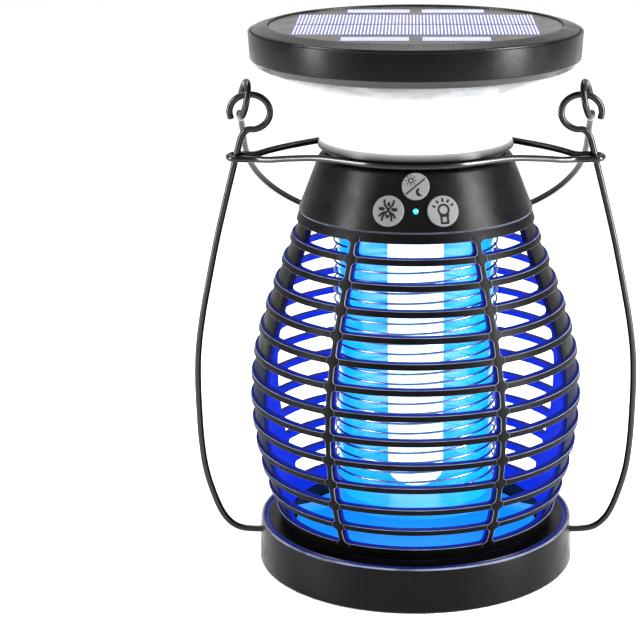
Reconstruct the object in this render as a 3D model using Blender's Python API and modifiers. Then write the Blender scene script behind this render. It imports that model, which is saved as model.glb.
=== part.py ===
"""Electric bug zapper lantern: solar disc, lamp, ribbed cage with a coil grid, round base and wire handle.

Units are metres, +Z is up, the floor is z = 0 and the buttons face -Y.
"""

import math

import bmesh
import bpy
from mathutils import Matrix, Vector

mm = 0.001

# Driving dimensions
baseRadius = 79.2 * mm
baseHeight = 22.2 * mm
baseWall = 2.4 * mm
deckOpening = 66 * mm
widestRadius = 82.3 * mm
widestHeight = 88 * mm
cageBottom = 22.5 * mm
cageTop = 180 * mm
cageDepth = 4.4 * mm
lowestSlot = 29.2 * mm
highestSlot = 175.3 * mm
ribCount = 12
ribFace = 2.9 * mm
firstRib = 38.9 * mm
lastRib = 167.2 * mm
barCount = 6
barWidth = 3 * mm
windowSegments = 5
panelSegments = 2  # window segments that a side panel fills on each side of the X axis
panelSink = 1.6 * mm
housingBottom = 180.3 * mm
housingTop = 207.2 * mm
housingRadius = 57.2 * mm
housingTopRadius = 46.7 * mm
housingWall = 2.3 * mm
collarLip = 211.4 * mm
collarTop = 215 * mm
diffuserTop = 237.7 * mm
discRadius = 80 * mm
discTop = 269.9 * mm
panelRadius = 70.1 * mm
coilRadius = 40 * mm
guideRadius = 38.2 * mm
coilPitch = 10 * mm
gridBottom = 37 * mm
gridTop = 172.5 * mm
wireRadius = 1.65 * mm
ringCentre = (80 * mm, 226.9 * mm)
pivotHeight = 235.5 * mm
handleAngle = math.radians(50)
handleLeg = 53 * mm
handleRadius = 85.9 * mm
fit = 0.3 * mm
turnSteps = 48
hiddenSteps = 36

housingSlope = math.atan2(housingRadius - housingTopRadius, housingTop - housingBottom)


for old in list(bpy.data.objects):
    bpy.data.objects.remove(old, do_unlink=True)

parts = bpy.data.collections.new("electric_bug_zapper")
cutters = bpy.data.collections.new("cutters")
bpy.context.scene.collection.children.link(parts)
bpy.context.scene.collection.children.link(cutters)


def material(name, colour, roughness, metallic=0.0, glow=0.0, alpha=1.0):
    made = bpy.data.materials.new(name)
    made.use_nodes = True
    shader = made.node_tree.nodes["Principled BSDF"]
    shader.inputs["Base Color"].default_value = (*colour, 1)
    shader.inputs["Roughness"].default_value = roughness
    shader.inputs["Metallic"].default_value = metallic
    shader.inputs["Alpha"].default_value = alpha
    shader.inputs["Emission Color"].default_value = (*colour, 1)
    shader.inputs["Emission Strength"].default_value = glow
    made.diffuse_color = (*colour, 1)
    return made


blackPlastic = material("black_plastic", (0.02, 0.02, 0.022), 0.45)
innerPlastic = material("inner_plastic", (0.05, 0.05, 0.055), 0.6)
insulator = material("insulator", (0.12, 0.2, 0.5), 0.5)
blackWire = material("black_wire", (0.015, 0.015, 0.017), 0.25, metallic=0.6)
gridWire = material("grid_wire", (0.55, 0.58, 0.62), 0.3, metallic=1.0)
buttonGrey = material("button_grey", (0.55, 0.56, 0.58), 0.5)
lampWhite = material("lamp_white", (0.95, 0.96, 1.0), 0.5, glow=2.0)
uvGlow = material("uv_glow", (0.45, 0.85, 1.0), 0.3, glow=4.0)
blueGuide = material("blue_guide", (0.1, 0.45, 1.0), 0.2, glow=0.6, alpha=0.5)
solarBlue = material("solar_blue", (0.04, 0.06, 0.2), 0.15)
boardGreen = material("board_green", (0.02, 0.2, 0.08), 0.5)
steel = material("steel", (0.6, 0.6, 0.6), 0.35, metallic=1.0)
cellBlue = material("cell_blue", (0.05, 0.15, 0.5), 0.35)
rubber = material("rubber", (0.03, 0.03, 0.03), 0.8)
cyanLed = material("cyan_led", (0.1, 0.9, 0.9), 0.3, glow=3.0)


def place(name, data, surface, helper=False):
    """An object for this mesh or curve, in its collection and with its material."""
    made = bpy.data.objects.new(name, data)
    if helper:
        made.hide_render = True
        made.display_type = "WIRE"
        cutters.objects.link(made)
    else:
        data.materials.append(surface)
        parts.objects.link(made)
    return made


def turned(name, profile, surface, steps=turnSteps, helper=False):
    """A profile of (radius, height) points turned about Z, put in the order that faces outward."""
    area = sum(a[0] * b[1] - b[0] * a[1] for a, b in zip(profile, profile[1:] + profile[:1]))
    if area > 0:
        profile = profile[::-1]
    count = len(profile)
    edges = [(index, (index + 1) % count) for index in range(count)]
    edges = [edge for edge in edges if profile[edge[0]][0] or profile[edge[1]][0]]
    mesh = bpy.data.meshes.new(name)
    mesh.from_pydata([(radius, 0, height) for radius, height in profile], edges, [])
    made = place(name, mesh, surface, helper)
    screw = made.modifiers.new("turn", "SCREW")
    screw.steps = screw.render_steps = steps
    screw.use_merge_vertices = True
    screw.merge_threshold = 0.00005
    return made


def box(name, size, surface, matrix, bevel=0.0, helper=False):
    """A box of this size, centred on the matrix, with edges rounded by bevel."""
    mesh = bpy.data.meshes.new(name)
    shape = bmesh.new()
    bmesh.ops.create_cube(shape, size=1, matrix=Matrix.Diagonal((*size, 1)))
    shape.to_mesh(mesh)
    shape.free()
    made = place(name, mesh, surface, helper)
    made.matrix_world = matrix
    if bevel:
        rounding = made.modifiers.new("round", "BEVEL")
        rounding.width = bevel
        rounding.segments = 1
    return made


def cylinder(name, radius, length, surface, matrix, steps=24, helper=False):
    """A round bar along the matrix's own Z, centred on it."""
    mesh = bpy.data.meshes.new(name)
    shape = bmesh.new()
    bmesh.ops.create_cone(
        shape, cap_ends=True, segments=steps, radius1=radius, radius2=radius, depth=length
    )
    shape.to_mesh(mesh)
    shape.free()
    made = place(name, mesh, surface, helper)
    made.matrix_world = matrix
    return made


def boolean(target, other, operation="DIFFERENCE"):
    cut = target.modifiers.new(other.name, "BOOLEAN")
    cut.solver = "EXACT"
    cut.operation = operation
    cut.object = other


def smoothRoute(points, spacing, closed=False):
    """Points about this far apart on a Catmull-Rom curve through the given ones."""
    route = [Vector(point) for point in points]
    count = len(route)
    last = count if closed else count - 1
    smooth = []
    for index in range(last):
        if closed:
            around = [route[(index + step) % count] for step in (-1, 0, 1, 2)]
        else:
            around = [route[min(max(index + step, 0), count - 1)] for step in (-1, 0, 1, 2)]
        before, here, there, after = around
        steps = max(1, round((there - here).length / spacing))
        for step in range(steps):
            t = step / steps
            smooth.append(
                0.5
                * (
                    2 * here
                    + (there - before) * t
                    + (2 * before - 5 * here + 4 * there - after) * t * t
                    + (3 * here - before - 3 * there + after) * t**3
                )
            )
    if not closed:
        smooth.append(route[-1])
    return smooth


def wire(name, points, radius, surface, closed=False, sides=2):
    """A round wire along these points, with filled ends."""
    curve = bpy.data.curves.new(name, "CURVE")
    curve.dimensions = "3D"
    curve.bevel_depth = radius
    curve.bevel_resolution = sides
    curve.use_fill_caps = not closed
    spline = curve.splines.new("POLY")
    spline.points.add(len(points) - 1)
    for target, point in zip(spline.points, points):
        target.co = (*point, 1)
    spline.use_cyclic_u = closed
    return place(name, curve, surface)


def arc(centre, radii, start, end, steps):
    """(x, z) points round part of an ellipse, angles in degrees from +X."""
    turns = [math.radians(start + (end - start) * step / steps) for step in range(steps + 1)]
    return [
        (centre[0] + radii[0] * math.cos(turn), centre[1] + radii[1] * math.sin(turn))
        for turn in turns
    ]


def cageRadius(height):
    """The cage's outline: a parabola below its widest place and a cosine above it."""
    rise = height - widestHeight
    if rise < 0:
        return widestRadius - 3.45 * rise * rise
    return widestRadius - 16.5 * mm * (1 - math.cos(math.pi * rise / (134 * mm)))


def ribHeights():
    """Heights of the ribs, evenly spaced along the outline."""
    steps = 2000
    heights = [firstRib + (lastRib - firstRib) * step / steps for step in range(steps + 1)]
    lengths = [0.0]
    for low, high in zip(heights, heights[1:]):
        lengths.append(lengths[-1] + math.hypot(high - low, cageRadius(high) - cageRadius(low)))
    wanted = [lengths[-1] * rib / (ribCount - 1) for rib in range(ribCount)]
    return [heights[min(range(steps + 1), key=lambda step: abs(lengths[step] - goal))] for goal in wanted]


def coneFrame(azimuth, height, depth=0.0):
    """Axes on the housing's face: Z points out of the face, Y up along it. Azimuth 0 is the front."""
    radius = housingRadius - (height - housingBottom) * math.tan(housingSlope)
    turn = Matrix.Rotation(math.radians(azimuth), 4, "Z")
    lean = Matrix.Rotation(math.pi / 2 - housingSlope, 4, "X")
    return turn @ Matrix.Translation((0, -radius, height)) @ lean @ Matrix.Translation((0, 0, -depth))


def makeBase():
    shell = turned(
        "base_shell",
        [
            (77.6 * mm, 0),
            (baseRadius, 1.2 * mm),
            (78.5 * mm, 19.6 * mm),
            (77.8 * mm, 21.5 * mm),
            (76.4 * mm, baseHeight),
            (deckOpening, baseHeight),
            (deckOpening, baseHeight - baseWall),
            (75.4 * mm, baseHeight - baseWall),
            (baseRadius - baseWall, 3 * mm),
            (baseRadius - baseWall, 0),
        ],
        blackPlastic,
    )
    for side, name in ((-1, "left"), (1, "right")):
        hole = cylinder(
            f"wire_hole_{name}",
            wireRadius + fit,
            12 * mm,
            None,
            Matrix.Translation((side * 78 * mm, 0, 12 * mm)) @ Matrix.Rotation(math.pi / 2, 4, "Y"),
            helper=True,
        )
        boolean(shell, hole)
    for lug in range(3):
        turn = Matrix.Rotation(math.radians(120 * lug + 30 - 22), 4, "Z")
        notch = box(
            f"lug_notch_{lug + 1}",
            (8 * mm, 10.5 * mm, 8 * mm),
            None,
            turn @ Matrix.Translation((66 * mm, 0, 21 * mm)),
            helper=True,
        )
        boolean(shell, notch)
    cover = turned(
        "bottom_cover",
        [(0, 2.2 * mm), (76.4 * mm, 2.2 * mm), (76.4 * mm, 0), (0, 0)],
        innerPlastic,
        hiddenSteps,
    )
    for number in range(4):
        turn = Matrix.Rotation(math.radians(45 + 90 * number), 4, "Z")
        spot = turn @ Matrix.Translation((68 * mm, 0, 1.2 * mm))
        seat = cylinder(f"screw_seat_{number + 1}", 2.7 * mm, 6 * mm, None, spot, 16, helper=True)
        boolean(cover, seat)
        makeScrew(f"bottom_screw_{number + 1}", turn @ Matrix.Translation((68 * mm, 0, 0.4 * mm)))
    turned(
        "insect_tray",
        [
            (0, 4.6 * mm),
            (58 * mm, 4.6 * mm),
            (59.6 * mm, 15.8 * mm),
            (61.4 * mm, 15.8 * mm),
            (59.4 * mm, 2.8 * mm),
            (0, 2.8 * mm),
        ],
        insulator,
        hiddenSteps,
    )


def makeScrew(name, matrix):
    """A small pan-head screw that points up from its head."""
    made = turned(
        name,
        [(0, 0), (2.3 * mm, 0.3 * mm), (2.3 * mm, 1.4 * mm), (1.1 * mm, 1.4 * mm), (1.1 * mm, 7 * mm), (0, 7 * mm)],
        steel,
        12,
    )
    made.matrix_world = matrix


def sideWireRoute():
    """(x, z) of the right-hand side wire, from inside the base to the end of its ring."""
    bow = [
        (74.5, 12.0), (83.6, 12.0), (90.2, 13.2), (95.0, 16.6), (98.9, 22.3), (102.8, 32.4), (106.2, 45.3),
        (107.9, 60.0), (108.6, 76.0), (108.8, 92.0), (108.0, 108.0), (105.6, 124.8), (102.2, 142.0),
        (97.6, 163.6), (92.3, 185.0), (87.1, 205.0), (85.0, 213.0), (83.4, 216.4),
    ]
    ring = arc(ringCentre, (9.8 * mm, 8.6 * mm), -84, -380, 14)
    return [(x * mm, z * mm) for x, z in bow] + ring


def makeSideWires():
    for side, name in ((-1, "left"), (1, "right")):
        route = [(side * x, 0, z) for x, z in sideWireRoute()]
        wire(f"side_wire_{name}", smoothRoute(route, 12 * mm), wireRadius, blackWire)


def makeNeckRing():
    """One closed wire: it lies in the collar's groove and ends each side in a narrow loop round a side wire."""
    grooveRadius = 45.6 * mm
    grooveHeight = 209.3 * mm
    tangent = 53
    front = [(45, -24, 209.0), (60, -13.6, 206.8), (70, -6.9, 204.9), (78, -2.5, 204.2)]
    back = [(78, 2.5, 205.8), (70, 6.9, 207.2), (60, 13.6, 208.2), (45, 24, 209.0)]
    loopCentre = 86.9 * mm
    loopRadius = 3.75 * mm
    loop = [
        (
            loopCentre + loopRadius * math.cos(math.radians(turn)),
            loopRadius * math.sin(math.radians(turn)),
            (205 + turn / 135 * 0.6) * mm,
        )
        for turn in range(-120, 121, 40)
    ]
    half = [Vector(point) * mm for point in front] + [Vector(point) for point in loop]
    half += [Vector(point) * mm for point in back]
    groove = [
        Vector((grooveRadius * math.cos(turn), grooveRadius * math.sin(turn), grooveHeight))
        for turn in (math.radians(tangent + (180 - 2 * tangent) * step / 6) for step in range(7))
    ]
    turnRound = Matrix.Rotation(math.pi, 4, "Z")
    mirrored = [Vector((-point.x, point.y, point.z)) for point in reversed(half)]
    route = half + groove + mirrored + [turnRound @ point for point in groove]
    wire("neck_ring", smoothRoute(route, 9 * mm, closed=True), wireRadius, blackWire, closed=True)


def makeHandle():
    """The bail, drawn hanging straight down from its hinge line and then turned to its rest angle."""
    eyeCentre = 5 * mm
    eyeRadius = 8.6 * mm
    eyeTilt = 5.4 / 17.2
    halfWidth = handleRadius

    def eyePoint(turn):
        along = eyeCentre + eyeRadius * math.cos(math.radians(turn))
        across = eyeRadius * math.sin(math.radians(turn))
        return (halfWidth - (eyeCentre + eyeRadius - along) * eyeTilt, across, -along)

    half = [eyePoint(turn) for turn in range(-316, -19, 27)]
    half += [(halfWidth, -0.6 * mm, -17.5 * mm), (halfWidth, 0, -24 * mm), (halfWidth, 0, -38 * mm)]
    bow = [
        (x, 0, -handleLeg + z)
        for x, z in arc((0, 0), (handleRadius, handleRadius), 0, -180, 18)
    ]
    mirrored = [(-x, y, z) for x, y, z in reversed(half)]
    made = wire("carry_handle", smoothRoute(half + bow + mirrored, 12 * mm), wireRadius, blackWire)
    made.location = (0, 0, pivotHeight)
    made.rotation_euler = (handleAngle, 0, 0)


def rollSheet(name, rows, keep, sink, depth):
    """A grid rolled up into the outline, sunk below it, with the faces that are kept and a level wall drawn inwards."""
    perBar = windowSegments + 1
    columns = perBar * barCount
    shape = bmesh.new()
    bmesh.ops.create_grid(shape, x_segments=columns, y_segments=len(rows) - 1, size=1)
    dropped = []
    for face in shape.faces:
        centre = face.calc_center_median()
        bar, step = divmod(int((centre.x + 1) / 2 * columns), perBar)
        if not keep(int((centre.y + 1) / 2 * (len(rows) - 1)), bar, step):
            dropped.append(face)
    for vertex in shape.verts:
        height = rows[round((vertex.co.y + 1) / 2 * (len(rows) - 1))]
        radius = cageRadius(height)
        barAngle = barWidth / radius
        bar, step = divmod(round((vertex.co.x + 1) / 2 * columns), perBar)
        angle = math.tau * bar / barCount - barAngle / 2
        if step:
            angle += barAngle + (step - 1) * (math.tau / barCount - barAngle) / windowSegments
        vertex.co = ((radius - sink) * math.cos(angle), (radius - sink) * math.sin(angle), height)
    bmesh.ops.delete(shape, geom=dropped, context="FACES")
    bmesh.ops.remove_doubles(shape, verts=shape.verts, dist=1e-6)
    # the windows are moulded by slides that pull sideways, so their walls are level and not square to the outline
    sheet = shape.verts[:] + shape.edges[:] + shape.faces[:]
    wall = bmesh.ops.extrude_face_region(shape, geom=sheet, use_keep_orig=True)
    for vertex in wall["geom"]:
        if isinstance(vertex, bmesh.types.BMVert):
            shrink = 1 - depth / math.hypot(vertex.co.x, vertex.co.y)
            vertex.co.x *= shrink
            vertex.co.y *= shrink
    bmesh.ops.recalc_face_normals(shape, faces=shape.faces)
    mesh = bpy.data.meshes.new(name)
    shape.to_mesh(mesh)
    shape.free()
    return mesh


def makeCage():
    """Ribs, four bars and two flanges in one wall, with a sunk panel joined on behind the ribs at each side."""
    ribs = []
    for height in ribHeights():
        ribs += [height - ribFace / 2, height + ribFace / 2]

    def inCage(row, bar, step):
        return row % 2 == 0 or (step == 0 and bar % 3 != 0)

    def inPanel(row, bar, step):
        return (bar % 3 == 0 and step <= panelSegments) or (bar % 3 == 2 and step > windowSegments - panelSegments)

    rows = [cageBottom, lowestSlot] + ribs + [highestSlot, cageTop]
    cage = place("cage", rollSheet("cage", rows, inCage, 0, cageDepth), blackPlastic)
    rows = [lowestSlot - 2 * mm] + ribs + [highestSlot + 2 * mm]
    behind = cageDepth - panelSink - 0.2 * mm
    panels = place("side_panels", rollSheet("side_panels", rows, inPanel, panelSink, behind), None, helper=True)
    boolean(cage, panels, "UNION")


def makeLockRing():
    """The ring under the cage whose three lugs turn under the base's deck."""
    top = cageBottom - fit
    ring = turned(
        "lock_ring",
        [(62.4 * mm, top), (65.6 * mm, top), (65.6 * mm, 16.6 * mm), (62.4 * mm, 16.6 * mm)],
        innerPlastic,
        hiddenSteps,
    )
    for lug in range(3):
        turn = Matrix.Rotation(math.radians(120 * lug + 30), 4, "Z")
        tab = box(
            f"lock_lug_{lug + 1}",
            (4.6 * mm, 8 * mm, 2.6 * mm),
            None,
            turn @ Matrix.Translation((66.2 * mm, 0, 18 * mm)),
            helper=True,
        )
        boolean(ring, tab, "UNION")


def makeGrid():
    """Two helical wires round the light guide, between a top holder and a lower spider that lets insects fall past."""
    turned(
        "grid_top_holder",
        [(17 * mm, 175.6 * mm), (45 * mm, 175.6 * mm), (45 * mm, gridTop), (17 * mm, gridTop)],
        insulator,
        hiddenSteps,
    )
    spider = turned(
        "grid_spider",
        [(17 * mm, gridBottom), (44 * mm, gridBottom), (44 * mm, 34 * mm), (17 * mm, 34 * mm)],
        insulator,
        hiddenSteps,
    )
    for arm in range(3):
        turn = Matrix.Rotation(math.radians(120 * arm + 90), 4, "Z")
        spoke = box(
            f"spider_arm_{arm + 1}",
            (27 * mm, 6 * mm, 2 * mm),
            None,
            turn @ Matrix.Translation((53.8 * mm, 0, 35.4 * mm)),
            helper=True,
        )
        boolean(spider, spoke, "UNION")
    perTurn = 18
    for name, shift in (("hv_coil_a", 0), ("hv_coil_b", coilPitch / 2)):
        start = gridBottom + 2.5 * mm + shift
        steps = int(12.5 * perTurn)
        points = []
        for step in range(steps + 1):
            turn = math.tau * step / perTurn
            height = start + coilPitch * step / perTurn
            points.append((coilRadius * math.cos(turn), coilRadius * math.sin(turn), height))
        wire(name, points, 0.6 * mm, gridWire, sides=0)


def makeUvLamp():
    lampRadius = 13.8 * mm
    low = gridBottom + 1.5 * mm
    high = 168 * mm
    turned(
        "uv_lamp",
        [
            (0, low),
            (9 * mm, low),
            (12.8 * mm, low + 2 * mm),
            (lampRadius, low + 6 * mm),
            (lampRadius, high),
            (0, high),
        ],
        uvGlow,
        hiddenSteps,
    )
    turned(
        "lamp_socket",
        [(0, high + fit), (15.4 * mm, high + fit), (16.6 * mm, 175.4 * mm), (0, 175.4 * mm)],
        innerPlastic,
        hiddenSteps,
    )
    turned(
        "light_guide",
        [
            (guideRadius - 1.8 * mm, gridTop - fit),
            (guideRadius, gridTop - fit),
            (guideRadius, gridBottom + fit),
            (guideRadius - 1.8 * mm, gridBottom + fit),
        ],
        blueGuide,
        hiddenSteps,
    )


def makeHousing():
    inset = housingWall / math.cos(housingSlope)
    slope = math.tan(housingSlope)
    deck = housingTop - housingWall
    housing = turned(
        "control_housing",
        [
            (housingRadius, housingBottom),
            (housingTopRadius + 0.5 * mm, housingTop - 1.2 * mm),
            (housingTopRadius - 0.8 * mm, housingTop),
            (43.4 * mm, housingTop),
            (43.4 * mm, deck),
            (housingRadius - (deck - housingBottom) * slope - inset, deck),
            (housingRadius - inset, housingBottom),
        ],
        blackPlastic,
    )
    turned(
        "housing_floor",
        [
            (0, 182.2 * mm),
            (52 * mm, 182.2 * mm),
            (52 * mm, housingBottom),
            (0, housingBottom),
        ],
        innerPlastic,
        hiddenSteps,
    )
    turned(
        "neck_collar",
        [
            (40 * mm, collarTop),
            (46 * mm, collarTop),
            (47 * mm, collarTop - 1 * mm),
            (47.5 * mm, collarLip),
            (43 * mm, collarLip),
            (43 * mm, 203.4 * mm),
            (40 * mm, 203.4 * mm),
        ],
        blackPlastic,
    )
    return housing


def makeControls(housing):
    """Three push buttons, their tact switches and the indicator, all square to the housing's face."""
    boardDepth = 9.5 * mm
    layout = (
        ("bug", -13.6, 189.8 * mm, 7.3 * mm),
        ("bulb", 13.6, 189.8 * mm, 7.3 * mm),
        ("sun_moon", 0, 200.8 * mm, 6.4 * mm),
    )
    for name, azimuth, height, radius in layout:
        button = turned(
            f"button_{name}",
            [
                (0, 0.9 * mm),
                (radius - 0.5 * mm, 0.9 * mm),
                (radius, 0.4 * mm),
                (radius, -1.4 * mm),
                (radius - 3.5 * mm, -1.6 * mm),
                (radius - 3.5 * mm, -4 * mm),
                (0, -4 * mm),
            ],
            buttonGrey,
            hiddenSteps,
        )
        button.matrix_world = coneFrame(azimuth, height)
        hole = cylinder(
            f"button_hole_{name}",
            radius + fit,
            14 * mm,
            None,
            coneFrame(azimuth, height),
            hiddenSteps,
            helper=True,
        )
        boolean(housing, hole)
        inward = coneFrame(azimuth, height).to_3x3() @ Vector((0, 0, -1))
        face = coneFrame(azimuth, height).translation
        board = coneFrame(0, 195.7 * mm, boardDepth - 0.8 * mm)
        local = board.inverted() @ (face + inward * boardDepth)
        spot = board @ Matrix.Translation((local.x, local.y, 1.3 * mm))
        box(f"tact_switch_{name}", (6 * mm, 6 * mm, 2 * mm), innerPlastic, spot)
    box(
        "control_board",
        (46 * mm, 18.4 * mm, 1.4 * mm),
        boardGreen,
        coneFrame(0, 195.7 * mm, boardDepth),
    )
    ledSpot = coneFrame(0, 190.1 * mm, 3.2 * mm)
    cylinder("indicator_led", 1.25 * mm, 7 * mm, cyanLed, ledSpot, 16)
    hole = cylinder("led_hole", 1.25 * mm + fit, 14 * mm, None, ledSpot, 16, helper=True)
    boolean(housing, hole)


def makeElectronics(housing):
    alongX = Matrix.Rotation(math.pi / 2, 4, "Y")
    cell = Matrix.Translation((0, 4 * mm, 193.5 * mm))
    cylinder("battery_cell", 9.1 * mm, 65 * mm, cellBlue, cell @ alongX)
    cradle = cylinder("battery_cradle", 10.7 * mm, 68 * mm, innerPlastic, cell @ alongX)
    room = cylinder("cell_room", 9.4 * mm, 80 * mm, None, cell @ alongX, helper=True)
    boolean(cradle, room)
    above = box(
        "cradle_opening",
        (80 * mm, 24 * mm, 24 * mm),
        None,
        Matrix.Translation((0, 4 * mm, 193.5 * mm + 8.6 * mm)),
        helper=True,
    )
    boolean(cradle, above)
    box(
        "hv_module",
        (24 * mm, 14 * mm, 13 * mm),
        blackPlastic,
        Matrix.Translation((-18 * mm, 27 * mm, 189.2 * mm)),
        bevel=0.8 * mm,
    )
    portHeight = 191 * mm
    port = coneFrame(180, portHeight, 4.4 * mm)
    box("charge_port", (9 * mm, 3.2 * mm, 7.4 * mm), steel, port, bevel=0.6 * mm)
    slot = box("port_slot", (9.8 * mm, 4 * mm, 14 * mm), None, port, helper=True)
    boolean(housing, slot)
    coverAxis = coneFrame(180, portHeight + 4.6 * mm, -1.35 * mm)
    cover = box("port_cover", (14 * mm, 9 * mm, 2 * mm), rubber, coverAxis, bevel=0.6 * mm)
    for vertex in cover.data.vertices:
        vertex.co.y -= 4.5 * mm


def makeLamp():
    """The waisted diffuser with its reflector core and ring of LEDs."""
    wall = 1.8 * mm
    outer = [(46.4, 215.3), (44.4, 218.6), (43.5, 223.5), (44.1, 230.5), (46.2, 237.4)]
    outside = [(radius * mm, height * mm) for radius, height in outer]
    inside = [(radius - wall, height) for radius, height in reversed(outside)]
    turned("lamp_diffuser", outside + inside, lampWhite)
    turned(
        "lamp_core",
        [(26 * mm, 237 * mm), (28 * mm, 237 * mm), (34 * mm, 215.4 * mm), (32 * mm, 215.4 * mm)],
        lampWhite,
        hiddenSteps,
    )
    turned(
        "led_board",
        [(29 * mm, 237.2 * mm), (41 * mm, 237.2 * mm), (41 * mm, 235.8 * mm), (29 * mm, 235.8 * mm)],
        boardGreen,
        hiddenSteps,
    )


def makeDisc():
    """A shallow dish whose rim stands round the bezel and carries it on a step, and the panel in the bezel's ledge."""
    wallTop = 267 * mm
    step = 265.1 * mm
    ledge = 267 * mm
    turned(
        "disc_lower_shell",
        [
            (0, diffuserTop),
            (46 * mm, diffuserTop + 0.3 * mm),
            (76.6 * mm, 250.9 * mm),
            (79.3 * mm, 254.2 * mm),
            (discRadius, wallTop),
            (78.6 * mm, wallTop),
            (78.6 * mm, step),
            (76.9 * mm, step),
            (76.4 * mm, 256 * mm),
            (75 * mm, 253.3 * mm),
            (45.4 * mm, 240.3 * mm),
            (0, 240.3 * mm),
        ],
        blackPlastic,
    )
    turned(
        "disc_bezel",
        [
            (78.3 * mm, step + fit),
            (78.3 * mm, 267.5 * mm),
            (77.7 * mm, 268.1 * mm),
            (72.2 * mm, 269.6 * mm),
            (71.2 * mm, discTop),
            (70.4 * mm, 269.5 * mm),
            (70.4 * mm, ledge),
            (66 * mm, ledge),
            (66 * mm, step + fit),
        ],
        blackPlastic,
    )
    turned(
        "solar_panel",
        [(0, 269.3 * mm), (panelRadius, 269.3 * mm), (panelRadius, ledge + fit), (0, ledge + fit)],
        solarBlue,
    )


makeBase()
makeSideWires()
makeNeckRing()
makeHandle()
makeCage()
makeLockRing()
makeGrid()
makeUvLamp()
controlHousing = makeHousing()
makeControls(controlHousing)
makeElectronics(controlHousing)
makeLamp()
makeDisc()
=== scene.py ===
import math

import bmesh
import bpy
import numpy as np
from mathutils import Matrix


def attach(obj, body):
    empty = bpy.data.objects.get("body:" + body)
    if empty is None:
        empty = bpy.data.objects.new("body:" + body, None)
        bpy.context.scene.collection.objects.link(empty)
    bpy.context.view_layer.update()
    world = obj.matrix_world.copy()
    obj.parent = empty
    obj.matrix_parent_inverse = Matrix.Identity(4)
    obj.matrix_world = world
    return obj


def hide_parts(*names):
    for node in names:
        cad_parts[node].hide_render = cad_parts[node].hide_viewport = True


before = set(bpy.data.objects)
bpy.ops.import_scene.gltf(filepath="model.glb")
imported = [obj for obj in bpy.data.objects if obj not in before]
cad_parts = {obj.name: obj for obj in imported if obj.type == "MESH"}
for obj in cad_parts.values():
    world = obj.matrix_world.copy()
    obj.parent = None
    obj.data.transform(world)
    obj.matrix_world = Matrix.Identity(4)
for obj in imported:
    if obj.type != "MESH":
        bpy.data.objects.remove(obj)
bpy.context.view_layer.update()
mm = 0.001  # the object's sizes are in millimetres and become metres when a mesh is made
print("frame loaded:", len(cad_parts), "nodes")


camera = {"place": (0, -963, 398), "tilt": 74.37, "lens": 113.6, "shift": -0.1495}
studio = {"world": 0.93, "floor": (0.9, 0.905, 0.91), "reach": 12, "left": 46, "right": 92, "top": 14,
          "front": 2}  # reach is half the floor's width in metres, and the last four are the lights' watts


def makeCamera():
    # a long lens in front of the object, a little above it and tilted down
    data = bpy.data.cameras.new("camera")
    data.lens = camera["lens"]
    data.sensor_width = 36
    data.shift_x = camera["shift"]
    data.clip_start = 0.05
    data.clip_end = 60
    made = bpy.data.objects.new("camera", data)
    made.location = np.array(camera["place"]) * mm
    made.rotation_euler = (math.radians(camera["tilt"]), 0, 0)
    bpy.context.scene.collection.objects.link(made)
    bpy.context.scene.camera = made


def addLight(name, place, aim, size, power):
    # an area light at place that faces aim, all in metres and watts
    data = bpy.data.lights.new(name, "AREA")
    data.shape = "RECTANGLE"
    data.size, data.size_y = size
    data.energy = power
    made = bpy.data.objects.new(name, data)
    made.location = place
    direction = np.array(aim) - np.array(place)
    flat = math.hypot(direction[0], direction[1])
    made.rotation_euler = (math.atan2(flat, -direction[2]), 0, math.atan2(-direction[0], direction[1]))
    bpy.context.scene.collection.objects.link(made)


def makeStudio():
    # a white surround, a tall softbox at each side, one above, a weak fill in front, and the floor
    scene = bpy.context.scene
    scene.view_settings.view_transform = "Standard"
    world = bpy.data.worlds.new("studioWorld")
    world.use_nodes = True
    world.node_tree.nodes["Background"].inputs["Color"].default_value = (1, 1, 1, 1)
    world.node_tree.nodes["Background"].inputs["Strength"].default_value = studio["world"]
    scene.world = world
    addLight("leftSoftbox", (-1.25, -0.45, 0.5), (0, 0, 0.14), (0.22, 1.2), studio["left"])
    addLight("rightSoftbox", (1.2, -0.5, 0.5), (0, 0, 0.14), (0.28, 1.3), studio["right"])
    addLight("topSoftbox", (-0.2, 0.5, 1.3), (0, 0, 0.2), (1.0, 0.6), studio["top"])
    addLight("frontFill", (-0.5, -1.6, 0.9), (0, 0, 0.12), (0.9, 0.9), studio["front"])
    ground = bpy.data.meshes.new("floor")
    reach = studio["reach"]
    corners = [(x * reach, y * reach, 0) for x, y in ((-1, -1), (1, -1), (1, 1), (-1, 1))]
    ground.from_pydata(corners, [], [(0, 1, 2, 3)])
    made = bpy.data.objects.new("floor", ground)
    made.location.z = -0.0002  # just under the base, so the two don't flicker
    surface = finish("floorPale", base=studio["floor"], rough=0.55, grain=(60, 0.02), mottle=0.02)
    ground.materials.append(surface)
    scene.collection.objects.link(made)
    print("camera, floor and lights ready")


def addNode(tree, kind, **values):
    # a node with the named inputs or properties set
    made = tree.nodes.new(kind)
    for label, value in values.items():
        if label in made.bl_rna.properties:
            setattr(made, label, value)
        else:
            made.inputs[label.replace("_", " ")].default_value = value
    return made


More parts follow.
